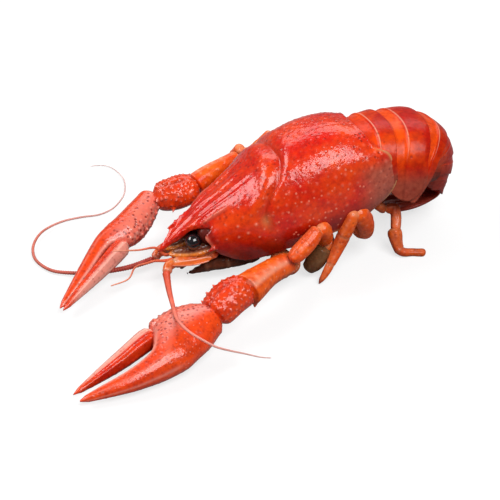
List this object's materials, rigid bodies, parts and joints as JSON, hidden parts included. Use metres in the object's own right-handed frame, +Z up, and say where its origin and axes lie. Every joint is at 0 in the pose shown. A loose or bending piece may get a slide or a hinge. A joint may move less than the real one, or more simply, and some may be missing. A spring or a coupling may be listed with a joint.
{
  "type": "cooked crayfish",
  "caption": "Whole boiled crayfish lying on its legs and claws, tail curled under the body, claws and long antennae spread in front.",
  "frame": {"origin": "middle of the whole animal's box, on the surface it lies on", "axes": "+X towards the head, +Y to the animal's left, +Z up"},
  "size_m": [0.1142, 0.0948, 0.0345],
  "materials": {
    "shell_red": "boiled shell, glossy red-orange with fine pits and pale tubercle tips",
    "tail_red": "boiled shell, deep red rings with orange joint bands and thin pale rear ridges",
    "limb_orange": "boiled shell, orange with creamy joints",
    "belly_brown": "boiled underside, dull brownish red",
    "mouthpart_brown": "dark brown mouthpart",
    "head_orange": "orange scale and antenna joints with a pale edge",
    "strand_red": "ringed antenna, red fading to pale pink",
    "strand_pale": "thin pale pink strand",
    "eye_black": "glossy black eye"
  },
  "bodies": {
    "root": {"carapace": "shell_red", "claw_left_wrist": "shell_red", "claw_right_wrist": "shell_red", "claw_left_hand": "shell_red", "claw_right_hand": "shell_red", "claw_left_finger": "shell_red", "claw_right_finger": "shell_red", "abdomen_segment_1": "tail_red", "abdomen_segment_2": "tail_red", "abdomen_segment_3": "tail_red", "abdomen_segment_4": "tail_red", "abdomen_segment_5": "tail_red", "abdomen_segment_6": "tail_red", "telson": "tail_red", "uropod_left_inner": "tail_red", "uropod_left_outer": "tail_red", "uropod_right_inner": "tail_red", "uropod_right_outer": "tail_red", "claw_left_arm": "limb_orange", "claw_right_arm": "limb_orange", "leg_left_1_upper": "limb_orange", "leg_left_1_lower": "limb_orange", "leg_left_2_upper": "limb_orange", "leg_left_2_lower": "limb_orange", "leg_left_3_upper": "limb_orange", "leg_left_3_lower": "limb_orange", "leg_left_4_upper": "limb_orange", "leg_left_4_lower": "limb_orange", "leg_right_1_upper": "limb_orange", "leg_right_1_lower": "limb_orange", "leg_right_2_upper": "limb_orange", "leg_right_2_lower": "limb_orange", "leg_right_3_upper": "limb_orange", "leg_right_3_lower": "limb_orange", "leg_right_4_upper": "limb_orange", "leg_right_4_lower": "limb_orange", "sternum": "belly_brown", "maxilliped_left": "mouthpart_brown", "maxilliped_right": "mouthpart_brown", "antennal_scale_left": "head_orange", "antennal_scale_right": "head_orange", "antenna_base_left": "head_orange", "antenna_base_right": "head_orange", "antenna_left": "strand_red", "antenna_right": "strand_pale", "antennule_left": "strand_pale", "antennule_right": "strand_pale", "eye_left": "eye_black", "eye_right": "eye_black"}
  },
  "joints": []
}
